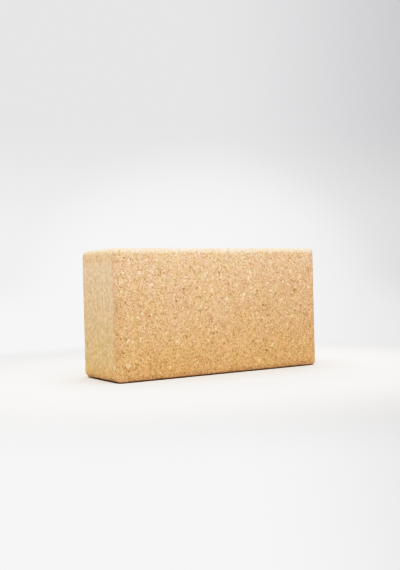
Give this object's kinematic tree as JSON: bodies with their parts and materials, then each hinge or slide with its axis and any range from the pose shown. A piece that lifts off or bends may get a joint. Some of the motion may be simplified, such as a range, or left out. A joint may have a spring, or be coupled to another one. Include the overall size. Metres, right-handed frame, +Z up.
{
  "type": "yoga block",
  "caption": "Rectangular yoga block of pressed cork granules with rounded edges: a firm, grippy support for hand, foot or seat that rests on any of its flat faces.",
  "frame": {"origin": "middle of the long narrow side that the block stands on in the picture", "axes": "+X along the length, +Y through the thickness (the pressing direction of the cork) and away from the broad face seen in the picture, +Z up the height as it stands"},
  "size_m": [0.227, 0.075, 0.12],
  "materials": {
    "core_cork": "sanded matte cork granulate in binder",
    "pale_cork": "sanded matte pale cork",
    "honey_cork": "sanded matte honey-coloured cork",
    "rust_cork": "sanded matte rust-coloured cork",
    "cork_bark": "matte dark outer bark"
  },
  "bodies": {
    "root": {"block_core": "core_cork", "pale_granules": "pale_cork", "honey_granules": "honey_cork", "rust_granules": "rust_cork", "bark_flecks": "cork_bark"}
  },
  "joints": []
}
